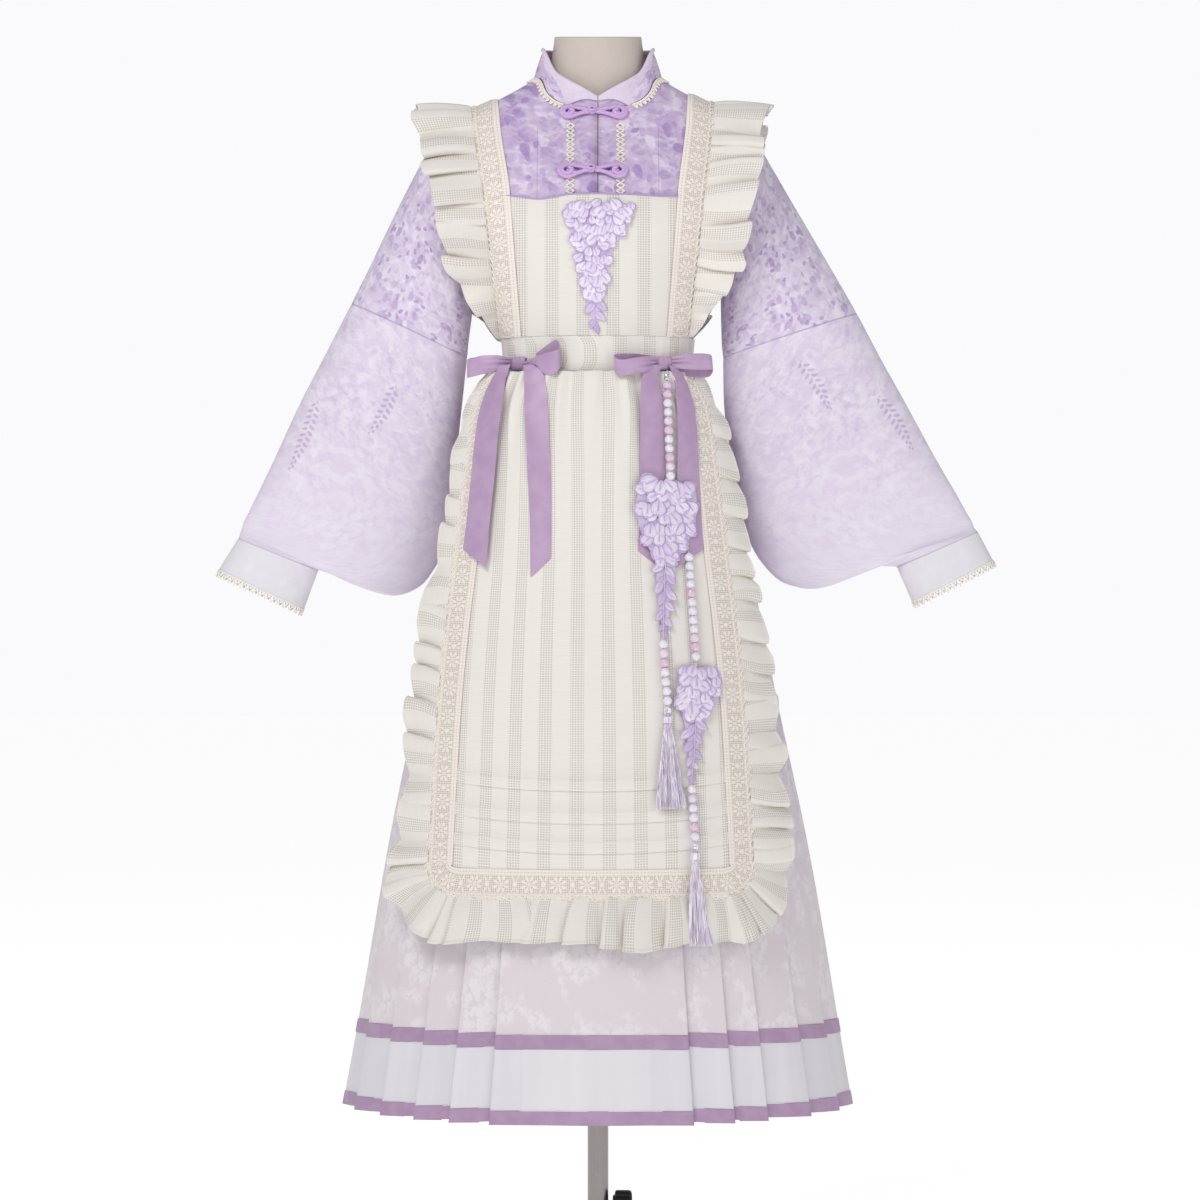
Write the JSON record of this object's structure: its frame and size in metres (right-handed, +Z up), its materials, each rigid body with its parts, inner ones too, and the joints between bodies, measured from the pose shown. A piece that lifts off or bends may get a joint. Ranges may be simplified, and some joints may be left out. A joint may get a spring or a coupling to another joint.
{
  "type": "apron dress set on a dress form",
  "caption": "Stand-collar dress with bag sleeves and a pleated skirt, lace-banded pinafore apron, ribbon bows and beaded waist ornament, worn by a limbless dress form on a pole stand.",
  "frame": {"origin": "centre of the base's underside, on the floor", "axes": "+Z up the pole, the garment's front faces -Y, the wearer's right hand is at -X"},
  "size_m": [0.934, 0.5208, 1.497],
  "materials": {
    "linen": "woven linen cover, matt",
    "enamel": "pale enamel, satin",
    "steel_tube": "polished tube",
    "black_plastic": "grained black plastic",
    "printed_cotton": "lilac cotton printed with hanging blossom, matt",
    "pale_printed_cotton": "pale lilac cotton with a faint print, matt",
    "organza": "sheer white organza",
    "satin_ribbon": "lilac satin, soft sheen",
    "cream_cotton": "cream cotton voile with open-weave stripes, matt",
    "crochet_lace": "cream cotton crochet lace, matt",
    "braided_cord": "lilac rayon braid, shiny",
    "embroidery": "satin-stitched lilac and white petals",
    "beads": "clear and pearly beads",
    "silk": "lilac and white silk floss, lustrous",
    "silver_metal": "bright silver-coloured metal"
  },
  "bodies": {
    "stand": {"stand_base": "enamel", "stand_hub": "enamel"},
    "pole": {"stand_pole": "steel_tube"},
    "dressed_form": {"form_torso": "linen", "bodice_front_left": "printed_cotton", "bodice_front_right": "printed_cotton", "bodice_back": "printed_cotton", "collar": "printed_cotton", "neck_lace_left": "crochet_lace", "neck_lace_right": "crochet_lace", "placket_lace_left": "crochet_lace", "placket_lace_right": "crochet_lace", "frog_upper_button": "braided_cord", "frog_upper_loop": "braided_cord", "frog_lower_button": "braided_cord", "frog_lower_loop": "braided_cord", "sleeve_upper_left": "printed_cotton", "sleeve_lower_left": "pale_printed_cotton", "cuff_left": "pale_printed_cotton", "cuff_lace_left": "crochet_lace", "sleeve_upper_right": "printed_cotton", "sleeve_lower_right": "pale_printed_cotton", "cuff_right": "pale_printed_cotton", "cuff_lace_right": "crochet_lace", "skirt_front": "pale_printed_cotton", "skirt_back": "pale_printed_cotton", "ribbon_upper": "satin_ribbon", "flounce": "organza", "ribbon_lower": "satin_ribbon", "waistband": "cream_cotton", "strap_left": "crochet_lace", "strap_right": "crochet_lace", "shoulder_ruffle_left": "cream_cotton", "shoulder_ruffle_right": "cream_cotton", "bib": "cream_cotton", "bib_applique": "embroidery", "apron_skirt": "cream_cotton", "lace_frame": "crochet_lace", "apron_ruffle": "cream_cotton", "bow_left_knot": "satin_ribbon", "bow_left_loop_left": "satin_ribbon", "bow_left_loop_right": "satin_ribbon", "bow_left_tail_left": "satin_ribbon", "bow_left_tail_right": "satin_ribbon", "bow_right_knot": "satin_ribbon", "bow_right_loop_left": "satin_ribbon", "bow_right_loop_right": "satin_ribbon", "bow_right_tail_left": "satin_ribbon", "bow_right_tail_right": "satin_ribbon", "clasp": "silver_metal", "pendant_upper": "embroidery", "pendant_lower": "embroidery", "tassel_upper": "silk", "tassel_lower": "silk", "beads_upper": "beads", "beads_middle": "beads", "beads_side": "beads", "beads_lower": "beads"},
    "knob": {"clamp_knob": "black_plastic"}
  },
  "joints": [
    {"name": "height_slide", "type": "slide", "parent": "stand", "child": "pole", "axis": [0, 0, 1], "range_m": [0, 0.04]},
    {"name": "form_turn", "type": "hinge", "parent": "pole", "child": "dressed_form", "pos_m": [0, 0, 0.85], "axis": [0, 0, 1], "continuous": true},
    {"name": "knob_turn", "type": "hinge", "parent": "stand", "child": "knob", "pos_m": [0.03, 0, 0.096], "axis": [1, 0, 0], "continuous": true}
  ]
}
